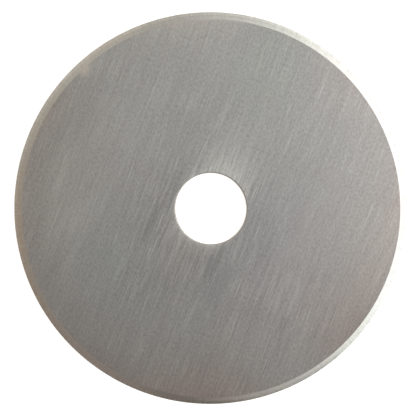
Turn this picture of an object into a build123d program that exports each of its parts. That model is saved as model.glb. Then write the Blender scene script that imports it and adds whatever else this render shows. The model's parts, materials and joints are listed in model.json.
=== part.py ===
from build123d import *
from math import radians, tan
import os

# A round blade for a hand-held rotary cutter: one disc of hardened tool steel, blanked with a
# central bore, ground flat on both faces, then bevelled and honed to a cutting edge all round its
# rim. It turns on the cutter's hub and is held between the handle and a washer by its flat faces.
# The origin is the centre of the bore in the plane of the cutting edge, and +Z is the blade's axis.
# Sizes are in millimetres, and angles in degrees from the plane of the blade, on each of its faces.

blade_diameter = 45.0
blade_thickness = 0.3
bore_diameter = 8.2  # turns freely on an 8 mm hub
bore_edge_radius = 0.1  # the tumbled round at each mouth of the bore
bevel_angle = 9.0  # of the wide grind, from the flat face down to the hone
hone_angle = 13.0  # of the steeper grind that ends in the cutting edge
hone_width = 0.3  # of the steeper grind, measured along a radius
edge_thickness = 0.01  # steel left at the cutting edge itself

rim_radius = blade_diameter / 2
bore_radius = bore_diameter / 2
face_height = blade_thickness / 2
edge_height = edge_thickness / 2

# The grinds are worked out inwards from the cutting edge, as their angles set how wide they come.
hone_radius = rim_radius - hone_width
hone_height = edge_height + hone_width * tan(radians(hone_angle))
bevel_width = (face_height - hone_height) / tan(radians(bevel_angle))
bevel_radius = hone_radius - bevel_width

with BuildPart() as blade:
    # Half of the blade's section, from the bore out to the edge, above and below the edge's plane.
    with BuildSketch(Plane.XZ):
        with BuildLine():
            upper_side = [
                (bore_radius, face_height),
                (bevel_radius, face_height),
                (hone_radius, hone_height),
                (rim_radius, edge_height),
            ]
            lower_side = [(radius, -height) for radius, height in reversed(upper_side)]
            Polyline(*upper_side, *lower_side, close=True)
        make_face()
    revolve(axis=Axis.Z)

    # Both mouths of the bore are rounded, so that the blade doesn't score the hub.
    bore_mouths = blade.edges().filter_by(GeomType.CIRCLE).group_by(SortBy.RADIUS)[0]
    fillet(bore_mouths, bore_edge_radius)

blade.part.label = "blade"

os.makedirs("parts", exist_ok=True)
export_step(blade.part, "parts/blade.step")
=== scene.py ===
import json
from math import cos, pi, radians, sin, tan

import bpy
import numpy as np
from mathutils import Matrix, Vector


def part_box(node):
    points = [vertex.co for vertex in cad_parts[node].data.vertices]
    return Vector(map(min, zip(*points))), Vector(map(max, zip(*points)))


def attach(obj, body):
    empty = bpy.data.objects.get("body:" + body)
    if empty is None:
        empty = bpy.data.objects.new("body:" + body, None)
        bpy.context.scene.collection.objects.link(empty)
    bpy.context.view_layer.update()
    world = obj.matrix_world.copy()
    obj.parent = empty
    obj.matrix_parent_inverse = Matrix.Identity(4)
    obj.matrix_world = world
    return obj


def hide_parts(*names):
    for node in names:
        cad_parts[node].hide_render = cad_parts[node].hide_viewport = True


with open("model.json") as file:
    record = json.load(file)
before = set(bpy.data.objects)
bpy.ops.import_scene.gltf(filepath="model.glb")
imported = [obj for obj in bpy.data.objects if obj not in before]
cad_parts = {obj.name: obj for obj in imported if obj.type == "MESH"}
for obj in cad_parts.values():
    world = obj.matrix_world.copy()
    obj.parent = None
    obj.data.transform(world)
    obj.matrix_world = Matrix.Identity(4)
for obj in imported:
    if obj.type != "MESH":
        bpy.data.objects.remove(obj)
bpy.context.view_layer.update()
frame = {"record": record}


# The blade: one disc of hardened tool steel, blanked with a round bore and ground flat on a belt,
# which leaves fine straight lines across both faces. The rim is then ground to a wide bevel and
# honed to its edge from both sides, with lines that run across the bevel.

MM = 0.001
blade_low, blade_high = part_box("blade")
bore_mount = next(mount for mount in frame["record"]["mounts"] if mount["name"] == "bore")
rim_radius = max(blade_high.x, blade_high.y)
face_height = blade_high.z
bore_radius = bore_mount["dims"]["r_mm"] * MM
bore_round = 0.1 * MM  # of the tumbled edge at each mouth of the bore
sag_width = 0.25 * MM  # over which the faces fall off towards the bore, drawn down by the punch
sag_slope = tan(radians(1.8))  # of a face where it meets the bore's rounded edge
hone_width = 0.3 * MM
hone_angle = radians(13.0)
bevel_angle = radians(9.0)
edge_height = 0.005 * MM  # half of the steel left at the cutting edge
hone_height = edge_height + hone_width * tan(hone_angle)
hone_radius = rim_radius - hone_width
seam_width = 0.15 * MM  # of the dull line where the bevel runs into the hone
shoulder_radius = hone_radius - (face_height - hone_height) / tan(bevel_angle)
runout = 0.10 * MM  # how far the grind's shoulder sits off the blade's centre
runout_heading = radians(-31.0)
grind_heading = radians(69.5)  # of the straight lines on the faces, from +X

TURN_STEPS = 360
ROUND_STEPS = 5
FACE_STEPS = 64
CROWDING = 0.8  # how much closer the face's rings come near the bore and the rim
BORE, FACE, BEVEL, HONE = range(4)  # the kinds of ground surface, in the order of the materials


def half_section():
    """The blade's section above the plane of its edge, from the middle of the bore's wall out to
    the middle of the edge. Radius and height are given ring by ring: the wall, a quarter circle at
    the bore's mouth, the face, then the straight bevel, hone and edge. The face is flat but for its
    sag by the bore, e to the minus distance over the sag's width, and its rings lie at t less a
    part of the sine of one turn of t, so that they crowd at both ends."""
    turn = np.linspace(0, pi / 2, ROUND_STEPS + 1)
    round_radius = bore_radius + bore_round * (1 - np.cos(turn))
    round_height = face_height - bore_round * (1 - np.sin(turn)) - sag_slope * sag_width
    even = np.linspace(0, 1, FACE_STEPS + 1)[1:]
    share = even - CROWDING * np.sin(2 * pi * even) / (2 * pi)
    mouth_radius = bore_radius + bore_round
    face_radius = mouth_radius + share * (shoulder_radius - mouth_radius)
    sag = sag_slope * sag_width * np.exp((mouth_radius - face_radius) / sag_width)
    grind_radius = [hone_radius - seam_width, hone_radius, rim_radius, rim_radius]
    grind_height = [hone_height + seam_width * tan(bevel_angle), hone_height, edge_height, 0]
    radius = np.r_[bore_radius, round_radius, face_radius, grind_radius]
    height = np.r_[0, round_height, face_height - sag, grind_height]
    kinds = np.r_[np.full(ROUND_STEPS + 1, BORE), np.full(FACE_STEPS, FACE), BEVEL, BEVEL, HONE, HONE]
    return radius, height, kinds


radius, height, kinds = half_section()
# The lower half runs back from the edge to the bore, and shares both middle rings.
ring_radius = np.r_[radius, radius[-2:0:-1]]
ring_height = np.r_[height, -height[-2:0:-1]]
band_kind = np.r_[kinds, kinds[::-1]]
band_below = np.r_[np.zeros(len(kinds), bool), np.ones(len(kinds), bool)]
rings, bands = len(ring_radius), len(band_kind)

# Each ring is a circle, and the rings near the shoulder stand off centre by the grind's run-out.
angle = np.arange(TURN_STEPS) * 2 * pi / TURN_STEPS
off_centre = runout * np.interp(
    ring_radius, [bore_radius + bore_round, shoulder_radius, hone_radius, rim_radius], [0, 1, 0.5, 0]
)
x = ring_radius[:, None] * np.cos(angle) + (off_centre * cos(runout_heading))[:, None]
y = ring_radius[:, None] * np.sin(angle) + (off_centre * sin(runout_heading))[:, None]
z = np.broadcast_to(ring_height[:, None], x.shape)
points = np.stack([x, y, z], -1).reshape(-1, 3)

band = np.repeat(np.arange(bands), TURN_STEPS)
step = np.tile(np.arange(TURN_STEPS), bands)
next_ring, next_step = (band + 1) % rings, (step + 1) % TURN_STEPS
corners = np.stack(
    [
        band * TURN_STEPS + step,
        next_ring * TURN_STEPS + step,
        next_ring * TURN_STEPS + next_step,
        band * TURN_STEPS + next_step,
    ],
    -1,
)

mesh = bpy.data.meshes.new("ground_blade")
mesh.from_pydata(points, [], corners)
mesh.polygons.foreach_set("use_smooth", np.ones(len(corners), bool))
mesh.polygons.foreach_set("material_index", band_kind[band].astype(np.int32))

# The faces, bevel, hone and edge meet in crisp lines: an edge is sharp where it runs along a ring
# between two kinds of surface, or at the cutting edge.
ring_is_crisp = (band_kind != np.roll(band_kind, 1)) & (ring_radius > bore_radius + 2 * bore_round)
ring_is_crisp |= np.isclose(ring_radius, rim_radius) & ~np.isclose(ring_height, 0)
ends = np.empty(len(mesh.edges) * 2, np.int32)
mesh.edges.foreach_get("vertices", ends)
ends = ends.reshape(-1, 2)
along_ring = ends[:, 0] // TURN_STEPS == ends[:, 1] // TURN_STEPS
crisp = mesh.attributes.new("sharp_edge", "BOOLEAN", "EDGE")
crisp.data.foreach_set("value", along_ring & ring_is_crisp[ends[:, 0] // TURN_STEPS])

corner_ring = np.stack([band, band + 1, band + 1, band], -1)
corner_turn = (step[:, None] + np.array([0, 0, 1, 1])) * 2 * pi / TURN_STEPS


def along_and_across(spot):
    """Where a point lies along the grind's straight lines and across them, in millimetres: its
    place turned by the grind's heading."""
    along = spot[..., 0] * cos(grind_heading) + spot[..., 1] * sin(grind_heading)
    across = -spot[..., 0] * sin(grind_heading) + spot[..., 1] * cos(grind_heading)
    return along / MM, across / MM


LOWER_SIDE_SHIFT = 60.0  # in millimetres, so that the lower side's lines aren't those of the upper


def grind_map():
    """Where each corner lies along and across the grinding lines, in millimetres. On a face the
    lines run straight, and on the bevel and in the bore they run with the section, so along is the
    way travelled round the section and across is the arc round the rim or the bore."""
    along, across = along_and_across(points[corners])
    closed = np.r_[0:rings, 0]
    sides = np.hypot(np.diff(ring_radius[closed]), np.diff(ring_height[closed]))
    travel = np.r_[0, np.cumsum(sides)] / MM
    kind = band_kind[band][:, None]
    along = np.where(kind == FACE, along, travel[corner_ring])
    arc_radius = np.where(kind == BORE, bore_radius, rim_radius) / MM
    across = np.where(kind == FACE, across, corner_turn * arc_radius)
    other_side = np.where(band_below[band], LOWER_SIDE_SHIFT, 0.0)[:, None]
    return np.stack([along + other_side, across + other_side], -1)


mesh.uv_layers.new(name="grind").data.foreach_set("uv", grind_map().astype(np.float32).ravel())


def colour_map():
    """A flat layout of the blade with its upper side in one corner of a square and its lower side
    in the other, each a circle whose radius is one over two plus the root of two, less a margin.
    The bore's wall is opened out inwards and the cutting edge outwards, and no band is narrower
    than a tenth of a millimetre."""
    least_width, margin = 0.1 * MM, 0.02
    width = np.maximum(np.hypot(np.diff(radius), np.diff(height)), least_width)
    inner = bore_radius + bore_round - width[: ROUND_STEPS + 1].sum()
    opened = np.r_[inner, inner + np.cumsum(width)]
    opened = np.r_[opened, opened[-2:0:-1]]
    middle = 1 / (2 + 2**0.5)
    reach = opened[corner_ring % rings] * (1 - margin) * middle / opened.max()
    centre = np.where(band_below[band], 1 - middle, middle)[:, None]
    return np.stack([centre + reach * np.cos(corner_turn), centre + reach * np.sin(corner_turn)], -1)


mesh.uv_layers.new(name="OFBake").data.foreach_set("uv", colour_map().astype(np.float32).ravel())


# The steel's tone and hue wander from place to place, on the faces by how the belt bore on them and near the
# rim by heading. Painted highlights and painted shade lie in the same tint: round the bore, at its mouth,
# and on the bevel and the hone. Each corner of the mesh keeps its own tint.
spot = points[corners]
spot_kind = np.broadcast_to(band_kind[band][:, None], corners.shape)
spot_along, spot_across = along_and_across(spot)
spot_radius = np.hypot(spot[..., 0], spot[..., 1]) / MM
spot_heading = np.degrees(np.arctan2(spot[..., 1], spot[..., 0]))


def patch(right, up, length, width):
    """A soft oval of one at its middle, drawn out along the grind: e to the minus square of the
    distance, with the way along counted in lengths and the way across in widths. Its middle is
    given from the blade's centre, and all of it is in millimetres."""
    along, across = along_and_across(np.array([right, up]) * MM)
    return np.exp(-(((spot_along - along) / length) ** 2) - ((spot_across - across) / width) ** 2)


def lobe(heading, spread):
    """One side of the blade: e to the minus square of the angle from a heading, counted in spreads,
    both in degrees."""
    apart = (spot_heading - heading + 180) % 360 - 180
    return np.exp(-((apart / spread) ** 2))


def by_rim(heading, spread, reach):
    """A lobe that fades from the shoulder inwards by e over each reach in millimetres."""
    return lobe(heading, spread) * np.exp((spot_radius - shoulder_radius / MM) / reach)


def by_bore(heading, spread, reach):
    """A lobe that fades from the bore outwards by e over each reach in millimetres."""
    return lobe(heading, spread) * np.exp((bore_radius / MM - spot_radius) / reach)


def belt_wake(heading, reach):
    """The mark that the belt leaves where it comes on or off the bore, with a painted highlight along it.
    With c the cosine to the wake's heading, it is c squared at the bore, falling off outwards by e over the
    reach times c to the fourth. There is none where c is under a fifth."""
    least = 0.2
    ahead = np.maximum(np.cos(np.radians(spot_heading - heading)), least)
    fade = np.exp((bore_radius / MM - spot_radius) / (reach * ahead**4))
    return np.where(ahead > least, ahead**2 * fade, 0)


# A broad light mark lies where the belt came off the bore, and a lesser one where it came on: the belt's
# wake, with a painted highlight along it.
wakes_with_painted_highlight = 0.53 * belt_wake(69.5, 2.9) + 0.09 * belt_wake(232.5, 2.0)

# A painted glint lies in a ring close round the bore, and is faint at the lower left.
painted_glint_ring = (
    0.21 * by_bore(8.0, 22.0, 0.5)
    + 0.17 * by_bore(62.0, 28.0, 0.8)
    + 0.38 * by_bore(118.0, 22.0, 0.35)
    + 0.10 * by_bore(225.0, 30.0, 0.4)
    + 0.30 * by_bore(282.0, 28.0, 0.4)
)

light_streaks = (
    # Down the left side.
    0.14 * patch(-17.3, 3.8, 4.0, 1.0)
    + 0.21 * patch(-15.2, 0.5, 4.5, 2.2)
    + 0.08 * patch(-18.7, -3.2, 2.5, 0.8)
    + 0.07 * patch(-15.9, -6.3, 2.5, 1.2)
    + 0.04 * patch(-12.0, -6.0, 6.0, 4.0)
    # At the upper left and above the bore.
    + 0.05 * patch(-13.0, 8.6, 3.5, 1.2)
    + 0.13 * patch(-8.5, 9.0, 7.0, 3.5)
    + 0.05 * patch(-0.2, 14.5, 8.0, 1.5)
    # On the right.
    + 0.04 * patch(11.8, 0.6, 2.8, 0.9)
)
dark_streaks_and_flank_shade = (
    # At the left and the lower left.
    0.13 * patch(-14.3, 2.0, 2.0, 0.8)
    + 0.07 * patch(-18.6, -7.4, 2.5, 0.9)
    # At the upper left and the top.
    + 0.04 * patch(-13.2, 14.6, 2.0, 1.2)
    + 0.05 * patch(-7.4, 10.0, 2.5, 1.0)
    + 0.04 * patch(6.2, 15.6, 2.5, 1.0)
    # Painted shade beside the bore on its left.
    + 0.07 * patch(-5.2, 0.6, 2.5, 0.9)
    + 0.13 * patch(-6.8, -1.0, 3.0, 0.8)
    + 0.04 * patch(-6.0, -3.8, 1.8, 4.5)
    # Painted shade beside the bore on its right.
    + 0.06 * patch(5.2, -1.0, 2.0, 0.5)
    + 0.03 * patch(6.4, -2.7, 4.0, 2.5)
    # At the right, the lower right and the bottom.
    + 0.04 * patch(14.4, -1.0, 1.5, 0.8)
    + 0.04 * patch(16.0, -9.3, 3.5, 1.8)
    + 0.06 * patch(7.3, -16.4, 3.5, 1.5)
    + 0.06 * patch(3.5, -20.1, 1.5, 1.0)
)
painted_shade_below_bore = (
    # Painted shade below the bore, and on down the blade.
    0.14 * patch(-0.2, -6.7, 1.8, 1.0)
    + 0.07 * patch(-1.9, -6.1, 1.2, 0.7)
    + 0.06 * patch(2.2, -6.5, 2.5, 1.0)
    + 0.07 * patch(0.5, -8.5, 3.5, 1.8)
    + 0.07 * patch(-4.0, -8.0, 3.0, 1.5)
    + 0.12 * patch(4.6, -12.0, 2.5, 1.5)
    + 0.03 * patch(0.0, -13.5, 6.0, 3.5)
)

# Near the bevel the face is lighter or darker by heading, from the top round by the left to the lower right,
# fading inwards from the shoulder, and at the upper left the bevel's wheel slipped a little way onto the
# upper face.
rim_tone = (
    -0.06 * by_rim(72.0, 14.0, 2.5)
    + 0.17 * by_rim(97.0, 15.0, 1.5)
    - 0.07 * by_rim(150.0, 15.0, 2.0)
    + 0.05 * by_rim(178.0, 20.0, 2.5)
    - 0.14 * by_rim(237.0, 22.0, 3.5)
    - 0.18 * by_rim(272.0, 20.0, 4.0)
    - 0.25 * by_rim(317.0, 22.0, 4.5)
)
slip = patch(-14.35, 15.95, 0.9, 0.5) * ~band_below[band][:, None]
face_lighter = wakes_with_painted_highlight + painted_glint_ring + light_streaks - dark_streaks_and_flank_shade - painted_shade_below_bore + rim_tone + 0.42 * slip

face_warmer = (
    0.03 * belt_wake(232.5, 2.0)
    # Warmer by the bore's lower left and at the lower right, cooler at the lower left and below.
    + 0.012 * patch(-3.5, -5.5, 2.0, 1.0)
    + 0.015 * patch(13.0, -9.0, 7.0, 5.0)
    + 0.035 * patch(17.8, -8.5, 5.5, 2.2)
    - 0.03 * patch(-12.0, -6.5, 7.0, 4.5)
    - 0.015 * patch(-7.0, -13.0, 6.0, 5.0)
    - 0.025 * patch(-2.0, -14.5, 4.0, 2.0)
    # Cooler in the painted shade below the bore and beside it on its right.
    - 0.02 * patch(0.5, -8.5, 3.5, 1.8)
    - 0.03 * patch(6.4, -2.7, 4.0, 2.5)
    # Browner all round the rim, fading inwards from the shoulder.
    + 0.06 * by_rim(0.0, 22.0, 3.5)
    + 0.05 * by_rim(42.0, 14.0, 3.0)
    + 0.07 * by_rim(97.0, 15.0, 1.5)
    + 0.05 * by_rim(150.0, 15.0, 2.0)
    + 0.04 * by_rim(178.0, 22.0, 2.5)
    + 0.015 * by_rim(178.0, 50.0, 8.0)
    + 0.04 * by_rim(237.0, 22.0, 3.5)
    + 0.11 * by_rim(268.0, 18.0, 4.0)
    + 0.065 * by_rim(316.0, 14.0, 4.5)
    + 0.09 * slip
)
face_greener = (
    # Greener along the painted highlight of the wake and at the top; less green in the painted shade beside
    # the bore on its right, and at the lower right; greener near the rim at the top and on the left, and
    # where the wheel slipped.
    0.012 * belt_wake(69.5, 2.9)
    + 0.014 * patch(7.0, 16.0, 6.0, 4.0)
    - 0.014 * patch(6.4, -2.7, 4.0, 2.5)
    - 0.007 * patch(9.0, -8.0, 8.0, 5.0)
    + 0.010 * by_rim(97.0, 15.0, 1.5)
    + 0.010 * by_rim(178.0, 22.0, 2.5)
    + 0.035 * slip
)
# The round at the mouth of the bore: painted shade at its upper right, a little browner, and painted
# highlight at its upper left and at the bottom.
mouth_painted_light = -0.42 * lobe(45.0, 35.0) + 0.20 * lobe(120.0, 20.0) + 0.15 * lobe(270.0, 35.0)
mouth_warmer = 0.05 * lobe(45.0, 35.0)

# The bevel and the hone are painted lighter and darker by heading: painted highlight mostly at the upper
# right and the top, painted shade mostly at the bottom and the lower right. The bevel has a dull seam where
# it runs into the hone, at the top, the bottom and the lower right, and at the lower left a painted
# highlight runs along its shoulder.
spot_ring = ring_radius[corner_ring % rings]
seam = np.where(np.isclose(spot_ring, hone_radius), -0.16, 0.04)
painted_shoulder_highlight = np.where(np.isclose(spot_ring, shoulder_radius), 0.08, 0.0)
bevel_painted_light_and_seam = (
    0.22 * lobe(30.0, 20.0)
    + 0.05 * lobe(55.0, 10.0)
    - 0.09 * lobe(103.0, 9.0)
    + 0.06 * lobe(132.0, 9.0)
    - 0.04 * lobe(170.0, 9.0)
    - 0.30 * lobe(262.0, 12.0)
    - 0.13 * lobe(301.0, 11.0)
    + 0.07 * lobe(333.0, 10.0)
    + seam * (lobe(72.0, 22.0) + lobe(270.0, 8.0) + lobe(304.0, 14.0))
    + painted_shoulder_highlight * lobe(218.0, 18.0)
)
hone_painted_light = (
    0.05 * lobe(45.0, 11.0)
    + 0.03 * lobe(70.0, 12.0)
    + 0.10 * lobe(87.0, 10.0)
    - 0.05 * lobe(155.0, 12.0)
    - 0.08 * lobe(218.0, 18.0)
    - 0.09 * lobe(248.0, 9.0)
    - 0.36 * lobe(267.0, 13.0)
    - 0.14 * lobe(306.0, 10.0)
    + 0.03 * lobe(325.0, 24.0)
    + 0.07 * lobe(332.0, 9.0)
)

# The tints of both grinds go with painted light: a touch straw where their painted highlight is, at the top
# and at the lower right, and warm brown on the left and at the bottom.
straw = lobe(65.0, 16.0) + lobe(318.0, 16.0)
bevel_warmer = (
    0.01 * straw
    + 0.012 * lobe(118.0, 14.0)
    + 0.06 * lobe(184.0, 16.0)
    + 0.055 * lobe(215.0, 60.0)
    + 0.03 * lobe(272.0, 16.0)
    - 0.028 * lobe(325.0, 26.0)
)
hone_warmer = (
    bevel_warmer
    - 0.03 * lobe(150.0, 22.0)
    + 0.03 * lobe(208.0, 14.0)
    + 0.015 * lobe(262.0, 18.0)
)
bevel_greener = 0.025 * straw + 0.03 * lobe(188.0, 32.0)
hone_greener = bevel_greener - 0.018 * lobe(142.0, 26.0)

lighter = np.choose(spot_kind, [mouth_painted_light, face_lighter, bevel_painted_light_and_seam, hone_painted_light])
warmer = np.choose(spot_kind, [mouth_warmer, face_warmer, bevel_warmer, hone_warmer])
greener = np.choose(spot_kind, [0, face_greener, bevel_greener, hone_greener])

# The alpha is how deep the grinding lines are. The belt bit deepest round the bore and below it,
# and least at the top, on the right and at the lower left. The hone's wheel bit deepest at the
# bottom.
bite = (
    0.85
    + 1.1 * np.exp(-(((spot_radius - bore_radius / MM) / 3.2) ** 2))
    + 0.80 * patch(-6.0, -6.0, 6.0, 6.5)
    + 0.40 * patch(3.5, -10.5, 4.0, 3.5)
    + 0.60 * patch(10.0, -12.5, 6.0, 3.5)
    + 0.45 * patch(9.5, 10.0, 3.0, 5.0)
    - 0.30 * patch(0.0, 16.5, 3.0, 10.0)
    - 0.30 * patch(9.0, 3.0, 4.0, 3.5)
    - 0.35 * patch(14.5, -1.5, 5.0, 3.5)
    - 0.25 * patch(-14.0, -9.0, 12.0, 7.0)
    + 0.20 * by_rim(5.0, 25.0, 3.0)
    + 0.20 * by_rim(258.0, 20.0, 4.0)
)
hone_bite = 1 + 1.2 * lobe(275.0, 55.0)

WARMER_RGB = (1.0, -0.3, -0.7)  # how far a warmer tint shifts red, green and blue
GREENER_RGB = (-0.5, 1.0, -0.5)
tint = np.empty((*corners.shape, 4))
for channel, (warm_shift, green_shift) in enumerate(zip(WARMER_RGB, GREENER_RGB)):
    tint[..., channel] = (1 + lighter) * (1 + warmer * warm_shift) * (1 + greener * green_shift)
tint[..., 3] = np.choose(spot_kind, [1, bite, 1, hone_bite])
tints = mesh.attributes.new("tint", "FLOAT_COLOR", "CORNER")
tints.data.foreach_set("color", tint.astype(np.float32).ravel())

blade = bpy.data.objects.new("ground_blade", mesh)
bpy.context.scene.collection.objects.link(blade)

STEEL = (0.351, 0.339, 0.331)
BORE_SKIN_AND_SHADE = (0.30, 0.275, 0.25)  # of hardening, worn thin, which is left in the bore; dark also as painted shade along the bore's mouth


def fed_node(tree, kind, operation, *values):
    """A node in a tree of shading nodes. Each value in turn goes to one of its sockets: another
    node's output is linked to it, and a number or a triple is set on it."""
    made = tree.nodes.new(kind)
    made.operation = operation
    for socket, value in zip(made.inputs, values):
        if isinstance(value, bpy.types.NodeSocket):
            tree.links.new(value, socket)
        else:
            socket.default_value = value
    return made


def ground_steel(name, metal, roughness, stretch, grain, fine, broad):
    """Bare steel. Its tone varies by the tint of its patches, which also holds painted highlights and
    painted shade, and by layers of noise in the grind map: short grain, fine lines with single strokes among
    them, and broad streaks, each given by how far it lightens or darkens the metal. A faint cast of straw
    and blue lies over that. The lines also set how rough and how deep the surface is. Stretch is the
    highlight's spread across the lines."""
    material = bpy.data.materials.new(name)
    material.use_nodes = True
    tree = material.node_tree
    nodes, links = tree.nodes, tree.links
    shader = nodes["Principled BSDF"]
    shader.inputs["Metallic"].default_value = 1.0
    shader.inputs["Anisotropic"].default_value = stretch
    shader.inputs["Anisotropic Rotation"].default_value = 0.25  # of a turn: across the tangent

    grind = nodes.new("ShaderNodeUVMap")
    grind.uv_map = "grind"
    patches = nodes.new("ShaderNodeAttribute")
    patches.attribute_name = "tint"
    depth = patches.outputs["Alpha"]

    def maths(operation, *values):
        return fed_node(tree, "ShaderNodeMath", operation, *values).outputs["Value"]

    def vectors(operation, *values):
        return fed_node(tree, "ShaderNodeVectorMath", operation, *values).outputs["Vector"]

    def drawn_out(texture, length, pitch, turn):
        """Stretches a texture along the grind, turned by some degrees."""
        place = nodes.new("ShaderNodeMapping")
        place.vector_type = "TEXTURE"
        place.inputs["Rotation"].default_value = (0, 0, radians(turn))
        place.inputs["Scale"].default_value = (length, pitch, 1)
        texture.inputs["Scale"].default_value = 1.0
        links.new(grind.outputs["UV"], place.inputs["Vector"])
        links.new(place.outputs["Vector"], texture.inputs["Vector"])

    def lines(length, pitch, turn=0.0, detail=1.0):
        """Noise about nought, of that length along the grind and pitch across it."""
        noise = nodes.new("ShaderNodeTexNoise")
        noise.noise_dimensions = "2D"
        noise.inputs["Detail"].default_value = detail
        drawn_out(noise, length, pitch, turn)
        return maths("SUBTRACT", noise.outputs["Fac"], 0.5)

    def strokes(length, pitch, turn):
        """Single strokes, one to a cell of that length and pitch: one less 2.2 times the distance
        from the cell's own point, times a random number to the fourth, so that few are bright."""
        narrowing, rarity = 2.2, 4.0
        cells = nodes.new("ShaderNodeTexVoronoi")
        cells.voronoi_dimensions = "2D"
        drawn_out(cells, length, pitch, turn)
        chance = nodes.new("ShaderNodeSeparateColor")
        links.new(cells.outputs["Color"], chance.inputs["Color"])
        stroke = maths("MULTIPLY_ADD", cells.outputs["Distance"], -narrowing, 1.0)
        stroke = maths("MAXIMUM", stroke, 0.0)
        return maths("MULTIPLY", stroke, maths("POWER", chance.outputs["Red"], rarity))

    # Short and long lines cross at a slight angle, and single strokes stand out among them. They
    # come in clusters, with calmer steel between.
    stroke_share, cluster_share, narrow_share = 1.1, 1.6, 1.5
    short_lines = lines(2.2, 0.2, turn=1.2)
    ground = maths("ADD", short_lines, lines(7.0, 0.22, turn=-0.8))
    ground = maths("MULTIPLY_ADD", strokes(6.0, 0.2, turn=0.6), stroke_share, ground)
    ground = maths("MULTIPLY_ADD", strokes(3.5, 0.18, turn=-1.8), stroke_share, ground)
    clusters = maths("MULTIPLY_ADD", lines(5.0, 1.4, turn=2.0), cluster_share, 1.0)
    ground = maths("MULTIPLY", ground, maths("MULTIPLY", clusters, depth))
    wide_streaks = lines(16.0, 2.6, detail=2.0)
    streaks = maths("MULTIPLY_ADD", lines(7.0, 0.6, turn=-1.5), narrow_share, wide_streaks)
    streaks = maths("MULTIPLY", streaks, depth)
    tone = maths("MULTIPLY_ADD", lines(0.35, 0.2), grain, 1.0)
    tone = maths("MULTIPLY_ADD", ground, fine, tone)
    tone = maths("MULTIPLY_ADD", streaks, broad, tone)

    # The cast comes and goes over a millimetre or two.
    straw_or_blue = (0.03, -0.01, -0.03)
    cast = vectors("MULTIPLY_ADD", lines(2.5, 1.2, detail=2.0), straw_or_blue, (1.0, 1.0, 1.0))
    colour = vectors("MULTIPLY", patches.outputs["Color"], metal)
    colour = vectors("MULTIPLY", colour, cast)
    colour = vectors("MULTIPLY", colour, tone)
    links.new(colour, shader.inputs["Base Color"])

    smoothing = -0.15 * roughness  # where the short lines stand out
    rough = maths("MULTIPLY_ADD", short_lines, smoothing, roughness)
    links.new(rough, shader.inputs["Roughness"])

    bump = nodes.new("ShaderNodeBump")
    bump.inputs["Strength"].default_value = 1.0
    bump.inputs["Distance"].default_value = 0.001 * MM
    links.new(maths("ADD", ground, streaks), bump.inputs["Height"])
    links.new(bump.outputs["Normal"], shader.inputs["Normal"])

    tangent = nodes.new("ShaderNodeTangent")
    tangent.direction_type = "UV_MAP"
    tangent.uv_map = "grind"
    links.new(tangent.outputs["Tangent"], shader.inputs["Tangent"])
    return material


# The materials stand in the order of the kinds of surface.
for surface in (
    ground_steel("tumbled_bore", BORE_SKIN_AND_SHADE, roughness=0.35, stretch=0.0, grain=0.1, fine=0.1, broad=0.0),
    ground_steel("belt_ground_face", STEEL, roughness=0.29, stretch=0.62, grain=0.44, fine=0.19, broad=0.11),
    ground_steel("ground_bevel", STEEL, roughness=0.32, stretch=0.5, grain=0.26, fine=0.06, broad=0.04),
    ground_steel("honed_edge", STEEL, roughness=0.32, stretch=0.5, grain=0.38, fine=0.14, broad=0.04),
):
    mesh.materials.append(surface)

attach(blade, "root")
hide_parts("blade")


# The table: a plain sheet of white board, matt and flat, that the blade lies on. It is far wider
# than the picture.

table_size = 4.0
half = table_size / 2
table_mesh = bpy.data.meshes.new("table")
table_mesh.from_pydata(
    [(right * half, up * half, blade_low.z) for right, up in ((-1, -1), (1, -1), (1, 1), (-1, 1))],
    [],
    [(0, 1, 2, 3)],
)
table = bpy.data.objects.new("table", table_mesh)
bpy.context.scene.collection.objects.link(table)
board = bpy.data.materials.new("white_board")
board.use_nodes = True
board_tree = board.node_tree
paint = board_tree.nodes["Principled BSDF"]
paint.inputs["Base Color"].default_value = (0.88, 0.88, 0.88, 1)
paint.inputs["Roughness"].default_value = 0.8
paint.inputs["Specular IOR Level"].default_value = 0.2
paint.inputs["Emission Color"].default_value = (1, 1, 1, 1)

# It looks white to the eye and in what mirrors it, and lights nothing by itself.
board_lift = 0.35
looked_at = board_tree.nodes.new("ShaderNodeLightPath").outputs
seen = looked_at["Is Camera Ray"]
for way in ("Is Glossy Ray", "Is Transmission Ray"):
    seen = fed_node(board_tree, "ShaderNodeMath", "MAXIMUM", seen, looked_at[way]).outputs["Value"]
lift = fed_node(board_tree, "ShaderNodeMath", "MULTIPLY", seen, board_lift).outputs["Value"]
board_tree.links.new(lift, paint.inputs["Emission Strength"])
table_mesh.materials.append(board)


# The light: a large soft box high on the right, in a room with pale walls low down, a window behind
# on the left, a warm wall at the lower left, a small patch of lit ceiling and a wall at the front.


def toward(heading, lean):
    """The unit direction that leans from straight up towards a heading, both in degrees: the sine
    of the lean along the heading, and its cosine upwards."""
    lean, heading = radians(lean), radians(heading)
    return Vector((sin(lean) * cos(heading), sin(lean) * sin(heading), cos(lean)))


toward_key = toward(heading=7.0, lean=35.6)
key_distance, key_width, key_reach = 0.8, 1.08, 0.57
key_glow = 3.34  # how bright the box looks, which its power follows from

key = bpy.data.lights.new("soft_box", "AREA")
key.shape = "RECTANGLE"
key.size, key.size_y = key_width, key_reach
key.energy = key_glow * pi * key_width * key_reach
key.color = (1.0, 0.995, 0.97)
soft_box = bpy.data.objects.new("soft_box", key)
soft_box.location = toward_key * key_distance
soft_box.rotation_mode = "QUATERNION"
soft_box.rotation_quaternion = toward_key.to_track_quat("Z", "Y")
bpy.context.scene.collection.objects.link(soft_box)

world = bpy.data.worlds.new("pale_room")
bpy.context.scene.world = world
world.use_nodes = True
room = world.node_tree
ways = room.nodes.new("ShaderNodeTexCoord").outputs["Generated"]


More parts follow.
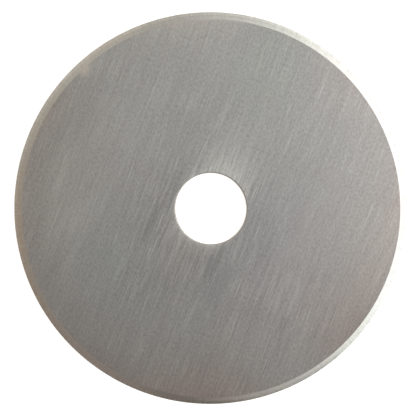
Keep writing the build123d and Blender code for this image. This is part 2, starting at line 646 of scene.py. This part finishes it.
def light_from(amount, tightness, colour, onto):
    """Adds light to the room: its colour times an amount from 0 to 1 raised to a power."""
    power = fed_node(room, "ShaderNodeMath", "POWER", amount, tightness).outputs["Value"]
    lit = fed_node(room, "ShaderNodeVectorMath", "MULTIPLY_ADD", power, colour, onto)
    return lit.outputs["Vector"]


def glow(heading, lean, tightness, colour, onto):
    """Light from one side of the room: the amount is the cosine to that side, where positive."""
    side = toward(heading, lean)
    cosine = fed_node(room, "ShaderNodeVectorMath", "DOT_PRODUCT", ways, side).outputs["Value"]
    amount = fed_node(room, "ShaderNodeMath", "MAXIMUM", cosine, 0.0).outputs["Value"]
    return light_from(amount, tightness, colour, onto)


def low_light(tightness, colour, onto):
    """Light from low down all round the room: the amount is one less the direction's rise, and
    one at most."""
    rise = room.nodes.new("ShaderNodeSeparateXYZ")
    room.links.new(ways, rise.inputs["Vector"])
    amount = fed_node(room, "ShaderNodeMath", "SUBTRACT", 1.0, rise.outputs["Z"])
    amount.use_clamp = True
    return light_from(amount.outputs["Value"], tightness, colour, onto)


dim_room = (0.1, 0.1, 0.1)
walls = low_light(tightness=4.0, colour=(0.85, 0.83, 0.80), onto=dim_room)
window = glow(heading=127.0, lean=42.0, tightness=13.5, colour=(2.2, 2.1, 1.75), onto=walls)
warm_wall = glow(heading=214.0, lean=60.0, tightness=3.3, colour=(0.81, 0.71, 0.63), onto=window)
ceiling = glow(heading=49.0, lean=13.5, tightness=30.0, colour=(0.34, 0.43, 0.48), onto=warm_wall)
front_wall = glow(heading=285.0, lean=39.5, tightness=40.0, colour=(0.45, 0.50, 0.42), onto=ceiling)
room.links.new(front_wall, room.nodes["Background"].inputs["Color"])


# The camera: a long lens above the blade, a touch to its upper left.

lens, sensor = 135.0, 36.0
frame_pixels = 416
blade_pixels = 195.95  # from the blade's centre to its edge in the picture
centre_right, centre_up = 2.9, -0.54  # of the blade's centre from the picture's, in pixels
pixel = rim_radius / blade_pixels
stand_off = frame_pixels * pixel * lens / sensor
aim = Vector((-centre_right * pixel, -centre_up * pixel, 0))
toward_camera = toward(heading=140.0, lean=1.9)
camera = bpy.data.objects.new("camera", bpy.data.cameras.new("camera"))
camera.data.lens = lens
camera.data.sensor_width = sensor
camera.location = aim + toward_camera * stand_off
camera.rotation_mode = "QUATERNION"
camera.rotation_quaternion = Vector((0, 0, 1)).rotation_difference(toward_camera)
bpy.context.scene.collection.objects.link(camera)
bpy.context.scene.camera = camera
bpy.context.scene.view_settings.view_transform = "Standard"
